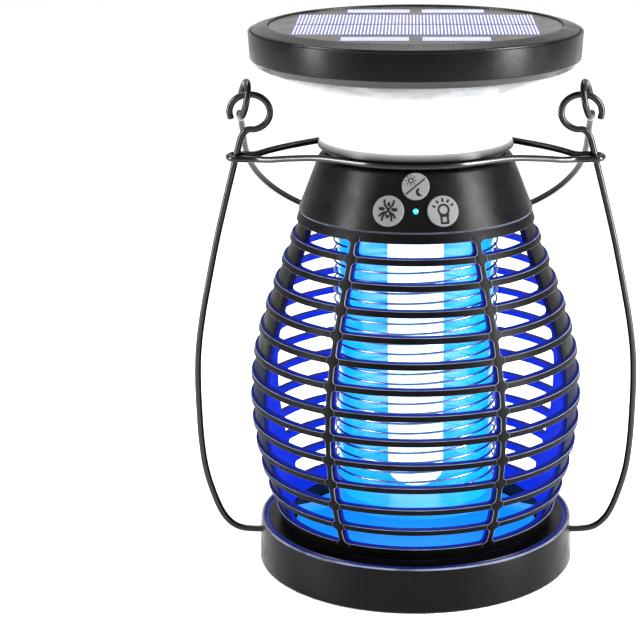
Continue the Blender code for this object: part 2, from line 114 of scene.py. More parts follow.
def finish(name, base, rough, metal=0.0, grain=None, mottle=0.15, edgeHighlight=None, glow=None, coat=0.0, sheer=None,
           roughSpread=0.1, paintedInnerLight=None, stretch=(1, 1, 1), specular=0.5):
    # a Principled finish: mottled colour, uneven roughness, grain bump, and a painted highlight, a paler
    # colour, along edges where the mesh carries an "edge" attribute; the inner glow adds painted light, an
    # emission, where it carries an "inside" one, and sheer gives a clear tube its alpha, facing and edge on
    made = bpy.data.materials.new(name)
    made.use_nodes = True
    tree = made.node_tree
    shader = tree.nodes["Principled BSDF"]
    shader.inputs["Metallic"].default_value = metal
    shader.inputs["Coat Weight"].default_value = coat
    shader.inputs["Coat Roughness"].default_value = 0.08
    shader.inputs["Specular IOR Level"].default_value = specular
    place = addNode(tree, "ShaderNodeTexCoord")
    mapping = addNode(tree, "ShaderNodeMapping", Scale=stretch)
    tree.links.new(place.outputs["Object"], mapping.inputs["Vector"])
    patches = addNode(tree, "ShaderNodeTexNoise", Scale=70, Detail=5, Roughness=0.6)
    tree.links.new(mapping.outputs["Vector"], patches.inputs["Vector"])
    tint = addNode(tree, "ShaderNodeMix", data_type="RGBA")
    tint.inputs[6].default_value = (*[channel * (1 - mottle) for channel in base], 1)
    tint.inputs[7].default_value = (*[min(channel * (1 + mottle), 1) for channel in base], 1)
    tree.links.new(patches.outputs["Fac"], tint.inputs["Factor"])
    colour = tint.outputs[2]
    spread = addNode(tree, "ShaderNodeMapRange")
    spread.inputs["From Min"].default_value = 0.3
    spread.inputs["From Max"].default_value = 0.7
    spread.inputs["To Min"].default_value = max(rough - roughSpread, 0.03)
    spread.inputs["To Max"].default_value = min(rough + roughSpread, 1)
    tree.links.new(patches.outputs["Fac"], spread.inputs["Value"])
    tree.links.new(spread.outputs["Result"], shader.inputs["Roughness"])
    # painted highlight: the edge mark mixes a paler colour into the rounded edges, made patchy by the noise
    if edgeHighlight:
        edge = addNode(tree, "ShaderNodeAttribute", attribute_name="edge")
        uneven = addNode(tree, "ShaderNodeMath", operation="MULTIPLY_ADD")
        uneven.inputs[1].default_value = 2.2
        uneven.inputs[2].default_value = -0.3
        tree.links.new(patches.outputs["Fac"], uneven.inputs[0])
        highlightMask = addNode(tree, "ShaderNodeMath", operation="MULTIPLY", use_clamp=True)
        tree.links.new(edge.outputs["Fac"], highlightMask.inputs[0])
        tree.links.new(uneven.outputs["Value"], highlightMask.inputs[1])
        paintedEdge = addNode(tree, "ShaderNodeMix", data_type="RGBA")
        paintedEdge.inputs[7].default_value = (*edgeHighlight, 1)
        tree.links.new(highlightMask.outputs["Value"], paintedEdge.inputs["Factor"])
        tree.links.new(colour, paintedEdge.inputs[6])
        colour = paintedEdge.outputs[2]
    tree.links.new(colour, shader.inputs["Base Color"])
    if grain:
        pits = addNode(tree, "ShaderNodeTexNoise", Scale=grain[0], Detail=3, Roughness=0.7)
        tree.links.new(mapping.outputs["Vector"], pits.inputs["Vector"])
        bump = addNode(tree, "ShaderNodeBump", Strength=grain[1], Distance=0.0003)
        tree.links.new(pits.outputs["Fac"], bump.inputs["Height"])
        tree.links.new(bump.outputs["Normal"], shader.inputs["Normal"])
    if sheer:
        facing = addNode(tree, "ShaderNodeLayerWeight", Blend=0.5)
        clear = addNode(tree, "ShaderNodeMapRange")
        clear.inputs["To Min"].default_value, clear.inputs["To Max"].default_value = sheer
        tree.links.new(facing.outputs["Facing"], clear.inputs["Value"])
        tree.links.new(clear.outputs["Result"], shader.inputs["Alpha"])
    if glow:
        shader.inputs["Emission Color"].default_value = (*glow[0], 1)
        shader.inputs["Emission Strength"].default_value = glow[1]
    # painted light: where the mesh is marked "inside", an emission stands in for the lamp's light falling on
    # it
    if paintedInnerLight:
        inside = addNode(tree, "ShaderNodeAttribute", attribute_name="inside")
        lit = addNode(tree, "ShaderNodeMix", data_type="RGBA")
        lit.inputs[6].default_value = (0, 0, 0, 1)
        lit.inputs[7].default_value = (*paintedInnerLight[0], 1)
        tree.links.new(inside.outputs["Fac"], lit.inputs["Factor"])
        tree.links.new(lit.outputs[2], shader.inputs["Emission Color"])
        shader.inputs["Emission Strength"].default_value = paintedInnerLight[1]
    return made


def makeFinishes():
    black = (0.0008, 0.00077, 0.00074)
    # the paler edge colour is a painted highlight along rounded edges, slightly blue
    paleEdgeHighlight = (0.15, 0.165, 0.25)
    return {
        "casing": finish("mouldedBlack", black, 0.3, grain=(1500, 0.24), edgeHighlight=paleEdgeHighlight, specular=0.07),
        # the foot finish carries painted blue light from the cage in the base's groove
        "foot": finish("footBlack", black, 0.3, grain=(1500, 0.24), edgeHighlight=paleEdgeHighlight, specular=0.07,
                       paintedInnerLight=((0.006, 0.02, 0.3), 1.0)),
        # the disc finish carries painted white light from the lamp on the disc's underside and the collar
        "disc": finish("discBlack", black, 0.26, grain=(1700, 0.18), specular=0.09,
                       paintedInnerLight=((1.0, 0.98, 0.96), 1.0)),
        "grained": finish("grainedBlack", black, 0.28, grain=(1500, 0.3), specular=0.14),
        "cage": finish("cageBlack", black, 0.45, grain=(1700, 0.22), edgeHighlight=paleEdgeHighlight, specular=0.045),
        # a blue-lit copy of the cage's black: painted blue light from the lamp on the faces inside
        "cageInside": finish("cageBlueLit", (0.002, 0.003, 0.01), 0.6, grain=(1500, 0.3), edgeHighlight=paleEdgeHighlight,
                             specular=0.04, paintedInnerLight=((0.004, 0.026, 0.78), 1.0)),
        "wire": finish("lacqueredWire", (0.003, 0.003, 0.0035), 0.2, grain=(900, 0.08), coat=0.08,
                       specular=0.22, roughSpread=0.05),
        "gridWire": finish("drawnWire", (0.16, 0.2, 0.32), 0.22, metal=1.0, grain=(3000, 0.1)),
        # the insulators' blue glow is painted light from the tube lamp; they are no lamp themselves
        "insulator": finish("blueInsulator", (0.0, 0.08, 0.3), 0.35, grain=(1500, 0.15), mottle=0.3,
                            glow=((0.005, 0.26, 0.85), 0.9), specular=0.3),
        "inner": finish("innerBlack", (0.02, 0.02, 0.022), 0.6, grain=(2200, 0.3), specular=0.2),
        "button": finish("buttonGrey", (0.082, 0.082, 0.086), 0.45, grain=(2400, 0.25), mottle=0.06,
                         specular=0.25),
        "ink": finish("iconInk", (0.004, 0.004, 0.005), 0.5, grain=(2400, 0.2), specular=0.08),
        "lamp": finish("opalLamp", (0.62, 0.64, 0.66), 0.3, grain=(400, 0.05), mottle=0.03,
                       sheer=(0.25, 0.97), glow=((0.97, 0.985, 1.0), 0.3)),
        "lampCore": finish("lampLight", (0.9, 0.92, 0.95), 0.45, grain=(400, 0.05), mottle=0.03,
                           glow=((0.97, 0.985, 1.0), 3.0)),
        "core": finish("tubeLight", (0.7, 0.95, 1.0), 0.3, mottle=0.05, glow=((0.8, 0.98, 1.0), 5.5)),
        "guide": finish("blueGuide", (0.0, 0.12, 0.5), 0.15, grain=(500, 0.1), mottle=0.25,
                        sheer=(0.42, 0.95), glow=((0.01, 0.42, 0.95), 0.85), stretch=(1, 1, 0.2),
                        specular=0.4),
        "panel": finish("panelGlass", (0.022, 0.019, 0.016), 0.25, grain=(800, 0.05), mottle=0.3,
                        specular=0.12),
        "cell": finish("solarCell", (0.03, 0.035, 0.14), 0.3, grain=(900, 0.1), mottle=0.4,
                       stretch=(1, 0.15, 1), specular=0.15),
        "line": finish("cellLine", (0.4, 0.4, 0.58), 0.4, mottle=0.1, grain=(2000, 0.1), specular=0.15),
        "board": finish("boardGreen", (0.02, 0.16, 0.07), 0.45, grain=(1200, 0.2), mottle=0.3),
        "steel": finish("platedSteel", (0.5, 0.5, 0.5), 0.3, metal=1.0, grain=(1500, 0.15)),
        "cellWrap": finish("cellWrap", (0.03, 0.1, 0.4), 0.3, grain=(300, 0.1), coat=0.4),
        "rubber": finish("portRubber", (0.01, 0.01, 0.01), 0.7, grain=(2000, 0.4), specular=0.2),
        "indicator": finish("cyanIndicator", (0.02, 0.3, 0.3), 0.2, mottle=0.05,
                            glow=((0.01, 0.6, 0.62), 0.8)),
    }


def roundCorners(points, cuts, closed=True, steps=5):
    # each corner of a polygon becomes a parabola that starts and ends at distance cut from it
    points = np.array(points, float)
    cuts = np.broadcast_to(np.array(cuts, float), len(points))
    t = np.linspace(0, 1, steps)[:, None]
    out = []
    for index, (point, cut) in enumerate(zip(points, cuts)):
        if cut == 0 or (not closed and index in (0, len(points) - 1)):
            out.append(point[None])
            continue
        before = points[index - 1] - point
        after = points[(index + 1) % len(points)] - point
        start = point + before / np.linalg.norm(before) * cut
        end = point + after / np.linalg.norm(after) * cut
        out.append((1 - t) ** 2 * start + 2 * t * (1 - t) * point + t**2 * end)
    return np.concatenate(out)


def gridQuads(rows, columns, closeRows, closeColumns):
    # quads between neighbouring points of a grid that is numbered row by row
    r, c = np.meshgrid(
        np.arange(rows if closeRows else rows - 1),
        np.arange(columns if closeColumns else columns - 1),
        indexing="ij",
    )
    here, below = r * columns, (r + 1) % rows * columns
    right = (c + 1) % columns
    return np.stack([here + c, here + right, below + right, below + c], -1).reshape(-1, 4)


def turned(outline, segments=192, **marks):
    # (radius, height) points turned about Z; an outline that starts and ends on the axis closes in two fans
    outline = np.array(outline, float)
    angle = np.arange(segments) * (2 * math.pi / segments)
    poles = outline[0, 0] == 0
    ring = outline[1:-1] if poles else outline
    points = np.stack([
        ring[:, 0, None] * np.cos(angle),
        ring[:, 0, None] * np.sin(angle),
        np.broadcast_to(ring[:, 1, None], (len(ring), segments)),
    ], -1).reshape(-1, 3)
    quads = gridQuads(len(ring), segments, not poles, True)
    marks = {key: np.repeat(np.array(value, float), segments) for key, value in marks.items()}
    if not poles:
        return {"points": points, "faces": [quads], **marks}
    first, count = len(points), np.arange(segments)
    points = np.concatenate([points, [(0, 0, outline[0, 1]), (0, 0, outline[-1, 1])]])
    nextOne = (count + 1) % segments
    lastRow = (len(ring) - 1) * segments
    fans = np.concatenate([
        np.stack([np.full(segments, first), nextOne, count], -1),
        np.stack([np.full(segments, first + 1), lastRow + count, lastRow + nextOne], -1),
    ])
    return {"points": points, "faces": [quads, fans]}


def tube(path, radius, reference, sides=20, closed=False):
    # circles square to the path; reference is a direction that is never along the path
    path = np.array(path, float)
    if closed:
        along = np.roll(path, -1, 0) - np.roll(path, 1, 0)
    else:
        along = np.gradient(path, axis=0)
    along /= np.linalg.norm(along, axis=1)[:, None]
    reference = np.broadcast_to(np.array(reference, float), path.shape)
    side = np.cross(along, reference)
    side /= np.linalg.norm(side, axis=1)[:, None]
    up = np.cross(side, along)
    turn = np.arange(sides) * (2 * math.pi / sides)
    radius = np.broadcast_to(np.array(radius, float), len(path))
    if not closed:  # three shrinking rings give each end a rounded tip
        tip = np.array([0.25, 0.75, 0.96])
        push = np.array([0.42, 0.28, 0.1])
        path = np.concatenate([path[:1] - along[:1] * radius[0] * push[:, None], path,
                               path[-1:] + along[-1:] * radius[-1] * push[::-1, None]])
        side = np.concatenate([np.repeat(side[:1], 3, 0), side, np.repeat(side[-1:], 3, 0)])
        up = np.concatenate([np.repeat(up[:1], 3, 0), up, np.repeat(up[-1:], 3, 0)])
        radius = np.concatenate([radius[0] * tip, radius, radius[-1] * tip[::-1]])
    points = (
        path[:, None]
        + radius[:, None, None] * np.cos(turn)[None, :, None] * side[:, None]
        + radius[:, None, None] * np.sin(turn)[None, :, None] * up[:, None]
    ).reshape(-1, 3)
    faces = [gridQuads(len(path), sides, closed, True)]
    if not closed:
        around = np.arange(sides)
        last = (len(path) - 1) * sides
        faces.append(around[None, ::-1])
        faces.append((last + around)[None])
    return {"points": points, "faces": faces}


def through(points, perSpan=10, closed=False):
    # a Catmull-Rom curve through the points, perSpan samples to each span
    points = np.array(points, float)
    count = len(points)
    index = np.arange(count if closed else count - 1)

    def at(step):
        return points[(index + step) % count] if closed else points[np.clip(index + step, 0, count - 1)]

    t = (np.arange(perSpan) / perSpan)[None, :, None]
    before, here, there, after = [at(step)[:, None] for step in (-1, 0, 1, 2)]
    curve = 0.5 * (
        2 * here
        + (there - before) * t
        + (2 * before - 5 * here + 4 * there - after) * t**2
        + (3 * here - before - 3 * there + after) * t**3
    ).reshape(-1, points.shape[1])
    return curve if closed else np.concatenate([curve, points[-1:]])


def moved(patch, rotation, offset):
    # the patch turned by a 3 x 3 matrix and then shifted
    return {**patch, "points": patch["points"] @ np.array(rotation).T + np.array(offset)}


def makePiece(name, patches, material, body, stands=(), sharp=38, cutters=(), paintedLitFinish=None):
    # one mesh object from patches of points and faces, riding on a body and standing for CAD nodes; the
    # lit finish is a copy of the material with painted light, put on the faces that are marked as lit from
    # inside
    starts = np.cumsum([0] + [len(patch["points"]) for patch in patches])
    points = np.concatenate([patch["points"] for patch in patches]) * mm
    faces = [face + start for patch, start in zip(patches, starts) for face in patch["faces"]]
    mesh = bpy.data.meshes.new(name)
    mesh.vertices.add(len(points))
    mesh.vertices.foreach_set("co", points.astype(np.float32).ravel())
    sizes = np.concatenate([np.full(len(face), face.shape[1]) for face in faces])
    loops = np.concatenate([face.ravel() for face in faces])
    mesh.loops.add(len(loops))
    mesh.loops.foreach_set("vertex_index", loops.astype(np.int32))
    mesh.polygons.add(len(sizes))
    mesh.polygons.foreach_set("loop_start", np.concatenate([[0], np.cumsum(sizes)[:-1]]).astype(np.int32))
    for mark in ("edge", "inside"):
        if any(mark in patch for patch in patches):
            values = [patch.get(mark, np.zeros(len(patch["points"]))) for patch in patches]
            layer = mesh.attributes.new(mark, "FLOAT", "POINT")
            layer.data.foreach_set("value", np.concatenate(values).astype(np.float32))
    mesh.update(calc_edges=True)
    mesh.validate()
    shape = bmesh.new()
    shape.from_mesh(mesh)
    bmesh.ops.recalc_face_normals(shape, faces=shape.faces)
    shape.to_mesh(mesh)
    shape.free()
    made = bpy.data.objects.new(name, mesh)
    bpy.context.scene.collection.objects.link(made)
    for cutter in cutters:
        cut = made.modifiers.new("cut", "BOOLEAN")
        cut.solver = "EXACT"
        cut.object = cutter
    if cutters:
        graph = bpy.context.evaluated_depsgraph_get()
        made.data = bpy.data.meshes.new_from_object(made.evaluated_get(graph))
        made.modifiers.clear()
        for cutter in cutters:
            bpy.data.objects.remove(cutter)
    made.data.materials.clear()
    made.data.materials.append(material)
    if paintedLitFinish:
        made.data.materials.append(paintedLitFinish)
        lit = np.concatenate([patch["inside"] for patch in patches])[loops]
        faceLit = np.add.reduceat(lit, np.cumsum(sizes) - sizes) / sizes > 0.03
        made.data.polygons.foreach_set("material_index", faceLit.astype(np.int32))
    made.data.shade_smooth()
    made.data.set_sharp_from_angle(angle=math.radians(sharp))
    if body:
        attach(made, body)
        if stands:
            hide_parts(*stands)
        print("piece:", name, len(made.data.polygons), "faces")
    return made


def drillPatch(radius, segments, reach=8):
    # a cylinder about Z that reaches equally far both ways
    return turned([(0, -reach), (radius, -reach), (radius, reach), (0, reach)], segments)


def cutter(name, patch):
    # a closed shape for a Boolean cut, removed again once it has cut
    return makePiece(name, [patch], finishes["inner"], None)


base = {"radius": 79.2, "height": 22.2, "wall": 2.4, "opening": 66, "holeHeight": 12, "hole": 2.0,
        "rimHighlight": 0.8, "grooveLight": 0.6}


def makeBase():
    # the wall leans in a little, and a shallow groove runs round the deck just inside the rim
    foot, top, inner, under = base["radius"], base["height"], base["radius"] - base["wall"], 19.8
    outline = roundCorners(
        [(77.4, 0), (foot, 0), (foot - 0.8, top), (76.3, top), (76.0, top - 0.9), (74.5, top - 0.9),
         (74.1, top), (base["opening"], top), (base["opening"], under), (75.4, under), (inner, 18.6),
         (inner, 0)],
        (0.3, 1.4, 1.0, 0.4, 0.2, 0.2, 0.3, 0.3, 0.2, 0.2, 0.2, 0.3),
    )
    turnX = [[0, 0, 1], [0, 1, 0], [-1, 0, 0]]
    drill = drillPatch(base["hole"], 40, 7)
    holes = [
        cutter(f"wireHole{side}", moved(drill, turnX, (side * 78, 0, base["holeHeight"])))
        for side in (-1, 1)
    ]
    radius, height = outline.T
    # a painted highlight on the rim's outer edge, and painted blue light, an emission, in the groove
    rim = (radius > 77.2) & (height > 21.7)
    groove = (radius > 74.2) & (radius < 76.4) & (height > 21)  # the cage's light falls on the groove
    shell = turned(outline, 256, edge=rim * base["rimHighlight"], inside=groove * base["grooveLight"])
    makePiece("baseShell", [shell], finishes["foot"], "base", ["base_shell"],
              cutters=holes)


wires = {"radius": 1.65, "ring": (80, 226.9), "ringSize": (9.8, 8.6), "groove": 45.6, "grooveHeight": 209.3,
         "pivot": 235.5, "handleTurn": 50, "leg": 53, "bow": 85.9, "eyeCentre": 5, "eye": 8.6}


def degrees(start, end, steps):
    # evenly spaced angles, given in degrees and returned in radians
    return np.radians(np.linspace(start, end, steps))


def makeSideWires():
    # each wire leaves the base, bows outwards and up, and ends in an open ring of about 296 degrees
    bow = [
        (74.5, 12.0), (83.6, 12.0), (90.2, 13.2), (95.0, 16.6), (98.9, 22.3), (102.8, 32.4), (106.2, 45.3),
        (107.9, 60.0), (108.6, 76.0), (108.8, 92.0), (108.0, 108.0), (105.6, 124.8), (102.2, 142.0),
        (97.6, 163.6), (92.3, 185.0), (87.1, 205.0), (85.0, 213.0), (83.4, 216.4),
    ]
    turn = degrees(-84, -380, 15)
    ring = np.stack([
        wires["ring"][0] + wires["ringSize"][0] * np.cos(turn),
        wires["ring"][1] + wires["ringSize"][1] * np.sin(turn),
    ], -1)
    flat = np.concatenate([bow, ring])
    for side, name in ((-1, "Left"), (1, "Right")):
        route = np.stack([side * flat[:, 0], np.zeros(len(flat)), flat[:, 1]], -1)
        patch = tube(through(route), wires["radius"], (0, 1, 0))
        makePiece(f"sideWire{name}", [patch], finishes["wire"], "base",
                  [f"side_wire_{name.lower()}"])


def makeNeckRing():
    # one closed wire: a small loop round each side wire, joined by arcs in the collar's groove
    front = np.array([(45, -24, 209.0), (60, -13.6, 206.8), (70, -6.9, 204.9), (78, -2.5, 204.2)])
    back = np.array([(78, 2.5, 205.8), (70, 6.9, 207.2), (60, 13.6, 208.2), (45, 24, 209.0)])
    turn = np.arange(-120, 121, 40)
    loop = np.stack([
        86.9 + 3.75 * np.cos(np.radians(turn)),
        3.75 * np.sin(np.radians(turn)),
        205 + turn / 135 * 0.6,
    ], -1)
    half = np.concatenate([front, loop, back])
    around = degrees(53, 127, 7)
    groove = np.stack([
        wires["groove"] * np.cos(around),
        wires["groove"] * np.sin(around),
        np.full(7, wires["grooveHeight"]),
    ], -1)
    mirrored = half[::-1] * (-1, 1, 1)
    route = np.concatenate([half, groove, mirrored, groove * (-1, -1, 1)])
    patch = tube(through(route, 12, closed=True), wires["radius"], (0, 0, 1), closed=True)
    makePiece("neckRing", [patch], finishes["wire"], "base", ["neck_ring"])


def makeHandle():
    # drawn hanging from its hinge line, then turned back to its rest angle
    turn = degrees(-316, -19, 12)
    along = wires["eyeCentre"] + wires["eye"] * np.cos(turn)
    inward = (wires["eyeCentre"] + wires["eye"] - along) * (5.4 / 17.2)
    eye = np.stack([wires["bow"] - inward, wires["eye"] * np.sin(turn), -along], -1)
    leg = [(wires["bow"], -0.6, -17.5), (wires["bow"], 0, -24), (wires["bow"], 0, -38)]
    sweep = degrees(0, -180, 19)
    bow = np.stack([
        wires["bow"] * np.cos(sweep), np.zeros(19), -wires["leg"] + wires["bow"] * np.sin(sweep)
    ], -1)
    half = np.concatenate([eye, leg])
    route = through(np.concatenate([half, bow, half[::-1] * (-1, 1, 1)]), 10)
    blend = np.clip((-route[:, 2] - 20) / 18, 0, 1)[:, None]  # the eyes are square to X, the bow to Y
    reference = blend * (0, 1, 0) + (1 - blend) * (1, 0, 0)
    patch = tube(route, wires["radius"], reference)
    c, s = math.cos(math.radians(wires["handleTurn"])), math.sin(math.radians(wires["handleTurn"]))
    patch = moved(patch, [[1, 0, 0], [0, c, -s], [0, s, c]], (0, 0, wires["pivot"]))
    makePiece("carryHandle", [patch], finishes["wire"], "handle", ["carry_handle"])


cage = {"low": 22.5, "high": 180, "firstSlot": 29.2, "lastSlot": 175.3, "depth": 4.4, "ribs": 12,
        "ribFace": 2.9, "ribRange": (38.9, 167.2), "bars": (60, 120, 240, 300), "barWidth": 3.0,
        "corner": 2.0, "edge": 0.38, "behindEdge": 0.12, "panels": (0, 180), "panelHalf": 24.2,
        "panelSink": 1.6}


def cageRadius(height):
    # a parabola below the widest place and a cosine above it
    rise = np.asarray(height, float) - 88
    return np.where(rise < 0, 82.3 - 0.00345 * rise**2, 82.3 - 16.5 * (1 - np.cos(math.pi * rise / 134)))


def ribHeights():
    # ribs evenly spaced along the outline
    height = np.linspace(*cage["ribRange"], 4001)
    run = np.concatenate([[0], np.cumsum(np.hypot(np.diff(height), np.diff(cageRadius(height))))])
    return np.interp(np.linspace(0, run[-1], cage["ribs"]), run, height)


def hoop(low, high, litTop=True, litLow=True):
    # one turned ring of the cage: its outer face follows the outline, its top and bottom run level to the
    # inner wall, and its outer edges are rounded; a point just behind each one ends the painted highlight
    # line there. The inner wall and the level faces get painted blue light from the lamp, the top faces more
    middle = (low + high) / 2
    heights = np.array([low, middle, high])
    outer = np.stack([cageRadius(heights), heights], -1)
    behind = cage["edge"] + cage["behindEdge"]
    corners = np.array([
        outer[0], outer[1], outer[2], outer[2] - (behind, 0), outer[2] - (cage["depth"], 0),
        outer[1] - (cage["depth"], 0), outer[0] - (cage["depth"], 0), outer[0] - (behind, 0),
    ])
    edge = cage["edge"]
    outline = roundCorners(corners, (edge, 0, edge, 0, 0.3, 0, 0.3, 0))
    depth = np.clip((cageRadius(outline[:, 1]) - outline[:, 0]) / cage["depth"], 0, 1)
    wall = outline[:, 1] - middle
    level = np.abs(wall) > (high - low) / 2 - 0.02
    dim = np.where(wall > 0, 0.5 if litTop else 0.0, 0.35 if litLow else 0.0)
    lit = np.where(level & (depth < 0.97), (0.2 + 0.8 * depth) * dim, np.where(depth > 0.9, 1.0, 0.0))
    paintedEdge = (depth > 0.02) & (depth * cage["depth"] < edge - 0.02)
    return turned(outline, 180, edge=paintedEdge, inside=lit)


def barPatch(azimuth, edges, halfAngle=0.0, sink=0.0, bright=0.2):
    # an upright bar whose half-width grows by a quarter circle towards each rib, so the windows have round
    # corners; a side panel is the same, wider by halfAngle degrees each way and sunk behind the ribs' faces
    corner = cage["corner"]
    sweep = np.linspace(0, math.pi / 2, 7)
    near = corner * (1 - np.cos(sweep))
    extra = corner * (1 - np.sin(sweep))
    low, high = edges[:, 0, None], edges[:, 1, None]
    heights = np.concatenate([low + near, (high - near)[:, ::-1]], 1).ravel()
    widen = np.tile(np.concatenate([extra, extra[::-1]]), len(edges))
    heights = np.concatenate([[edges[0, 0] - 2], heights, [edges[-1, 1] + 2]])
    widen = np.concatenate([[corner], widen, [corner]])
    half = cage["barWidth"] / 2 * (halfAngle == 0) + widen
    across = 9 if halfAngle else 1
    sweep = np.linspace(0, math.pi / 2, 4)
    # half of the section, from the middle of the outer face round to the middle of the inner one
    inset = np.concatenate([np.zeros(across), cage["edge"] * (1 - np.sin(sweep)), np.zeros(across + 2)])
    inner = cage["depth"] + 0.1 - sink
    behind = [cage["edge"] + cage["behindEdge"], inner / 2]
    rounded = cage["edge"] * (1 - np.cos(sweep))
    depth = np.concatenate([np.zeros(across), rounded, behind, np.full(across, inner)])
    spread = np.linspace(0, 1, across + 1)
    side = np.concatenate([spread[:-1], np.ones(6), spread[:0:-1]])
    inset = np.concatenate([inset, -inset[:0:-1]])
    depth = np.concatenate([depth, depth[:0:-1]]) - 0.05
    side = np.concatenate([side, -side[:0:-1]])
    radius = cageRadius(heights)[:, None] - sink - depth
    turn = math.radians(azimuth) + math.radians(halfAngle) * side + (half[:, None] * side - inset) / radius
    height = np.broadcast_to(heights[:, None], radius.shape)
    points = np.stack([radius * np.cos(turn), radius * np.sin(turn), height], -1).reshape(-1, 3)
    rows, columns = radius.shape
    around = np.arange(columns)
    ends = [around[None, ::-1], ((rows - 1) * columns + around)[None]]
    faces = [gridQuads(rows, columns, False, True), *ends]
    marks = np.broadcast_to(depth, (rows, columns)).ravel()
    # a painted highlight line along the bars' rounded outer edges
    edge = (marks > -0.04) & (marks < cage["edge"] - 0.07) & (halfAngle == 0)
    # painted light on a panel's inner wall is stronger towards the base
    fall = np.clip((150 - height.ravel()) / 60, 0.12, 1) if halfAngle else 1.0
    # painted light: the inner face glows fully, the side faces dimmer
    shade = np.clip(marks / inner, 0.04 if halfAngle else 0, 1) * bright
    lit = np.where(marks > inner - 0.1, 1.0, shade) * fall
    return {"points": points, "faces": faces, "edge": edge, "inside": lit}


def makeCage():
    # hoops for the ribs and the two flanges, four upright bars and a sunk panel each side
    ribs = ribHeights()
    half = cage["ribFace"] / 2
    patches = [hoop(rib - half, rib + half) for rib in ribs]
    patches.append(hoop(cage["low"], cage["firstSlot"], litLow=False))
    patches.append(hoop(cage["lastSlot"], cage["high"], litTop=False))
    lows = np.concatenate([[cage["firstSlot"]], ribs + half])
    highs = np.concatenate([ribs - half, [cage["lastSlot"]]])
    edges = np.stack([lows, highs], -1)
    patches += [barPatch(azimuth, edges) for azimuth in cage["bars"]]
    panel = (cage["panelHalf"], cage["panelSink"], 1)
    patches += [barPatch(azimuth, edges, *panel) for azimuth in cage["panels"]]
    # the faces marked inside take the cage's blue-lit copy, painted light from the lamp
    makePiece("cageRibs", patches, finishes["cage"], "tower", ["cage"],
              paintedLitFinish=finishes["cageInside"])


# the two coils, the sleeve they are wound on and the tube light inside it
grid = {"low": 37, "high": 172.5, "gap": 0.3, "radius": 40, "wire": 0.55, "pitch": 10, "turns": 12.6,
        "guide": 38.2, "guideWall": 1.8, "lamp": 13.8}


def makeGrid():
    # two helices half a pitch apart: each turns evenly and rises one pitch a turn
    step = np.arange(int(grid["turns"] * 72) + 1) / 72
    for name, node, shift in (("coilA", "hv_coil_a", 0), ("coilB", "hv_coil_b", grid["pitch"] / 2)):
        turn = 2 * math.pi * step
        rise = grid["low"] + 2.5 + shift + grid["pitch"] * step
        path = np.stack([grid["radius"] * np.cos(turn), grid["radius"] * np.sin(turn), rise], -1)
        patch = tube(path, grid["wire"], (0, 0, 1), sides=10)
        makePiece(name, [patch], finishes["gridWire"], "tower", [node])
    guide, high, lamp = grid["guide"], grid["high"], grid["lamp"]
    inner, low, end = guide - grid["guideWall"], grid["low"] + grid["gap"], high - grid["gap"]
    sleeve = [(inner, low), (guide, low), (guide, end), (inner, end)]
    makePiece("lightSleeve", [turned(sleeve, 160)], finishes["guide"], "tower",
              ["light_guide"])
    tip = [(0, 38.5), (9, 38.5), (lamp, 43), (lamp, 168), (0, 168)]
    glass = roundCorners(tip, (0, 2, 3, 0.5, 0), closed=False)
    makePiece("tubeLight", [turned(glass, 96)], finishes["core"], "tower", ["uv_lamp"])
    holder = roundCorners([(17, high), (45, high), (45, high + 3.1), (17, high + 3.1)], 0.6)
    makePiece("gridTopHolder", [turned(holder, 128)], finishes["insulator"], "tower",
              ["grid_top_holder"])


# the controls sit on a leaning ring under the neck
housing = {"low": 180.3, "high": 207.2, "radius": 57.2, "topRadius": 46.7, "wall": 2.3, "rim": 43.4,
           "buttonGap": 0.28, "lipHighlight": 0.35}
housingLean = math.atan2(housing["radius"] - housing["topRadius"], housing["high"] - housing["low"])


def facePlace(azimuth, height):
    # axes on the housing's face: x across, y up along it, z out of it, and the point at that height
    radius = housing["radius"] - (height - housing["low"]) * math.tan(housingLean)
    turn = math.radians(azimuth)
    c, s = math.cos(turn), math.sin(turn)
    spin = np.array([[c, -s, 0], [s, c, 0], [0, 0, 1]])
    across = spin @ (1, 0, 0)
    upward = spin @ (0, math.sin(housingLean), math.cos(housingLean))
    outward = spin @ (0, -math.cos(housingLean), math.sin(housingLean))
    return np.stack([across, upward, outward], -1), spin @ (0, -radius, height)


buttons = {
    "Bug": {"azimuth": -13.6, "height": 189.8, "radius": 7.3, "node": "bug"},
    "Bulb": {"azimuth": 13.6, "height": 189.8, "radius": 7.3, "node": "bulb"},
    "SunMoon": {"azimuth": 0, "height": 200.8, "radius": 6.4, "node": "sun_moon"},
}


def stroke(points, width, radius, smooth=6):
    # a flat raised line in a button's own plane; width may swell along the line, as fractions of the radius
    points = np.array([(x, y, 0) for x, y in points], float)
    if len(points) > 2:
        path = through(points, smooth)
    else:
        path = points[0] + (points[1] - points[0]) * np.linspace(0, 1, 9)[:, None]
    along = np.gradient(path, axis=0)
    along /= np.linalg.norm(along, axis=1)[:, None]
    side = np.stack([-along[:, 1], along[:, 0]], -1)
    t = np.linspace(-1, 1, len(path))
    half = (width if not callable(width) else width(t)) * np.ones(len(path)) / 2
    left, right = path[:, :2] + side * half[:, None], path[:, :2] - side * half[:, None]
    low, high = np.full(len(path), 0.86), np.full(len(path), 0.97)
    loop = [(left, low), (left, high), (right, high), (right, low)]
    points = np.stack([np.column_stack([flat * radius, level]) for flat, level in loop], 1).reshape(-1, 3)
    around = np.arange(4)
    ends = [around[None, ::-1], ((len(path) - 1) * 4 + around)[None]]
    faces = [gridQuads(len(path), 4, False, True), *ends]
    return {"points": points, "faces": faces}


def oval(most):
    # a width that swells from nothing to its most and back
    return lambda t: np.maximum(most * np.sqrt(np.clip(1 - t**2, 0, 1)), 0.01)


def ringPoints(centre, radius, start=0, end=360, steps=25):
    # points on a circle, the centre plus the radius times the cosine and the sine of each angle
    turn = degrees(start, end, steps)
    return np.stack([centre[0] + radius * np.cos(turn), centre[1] + radius * np.sin(turn)], -1)


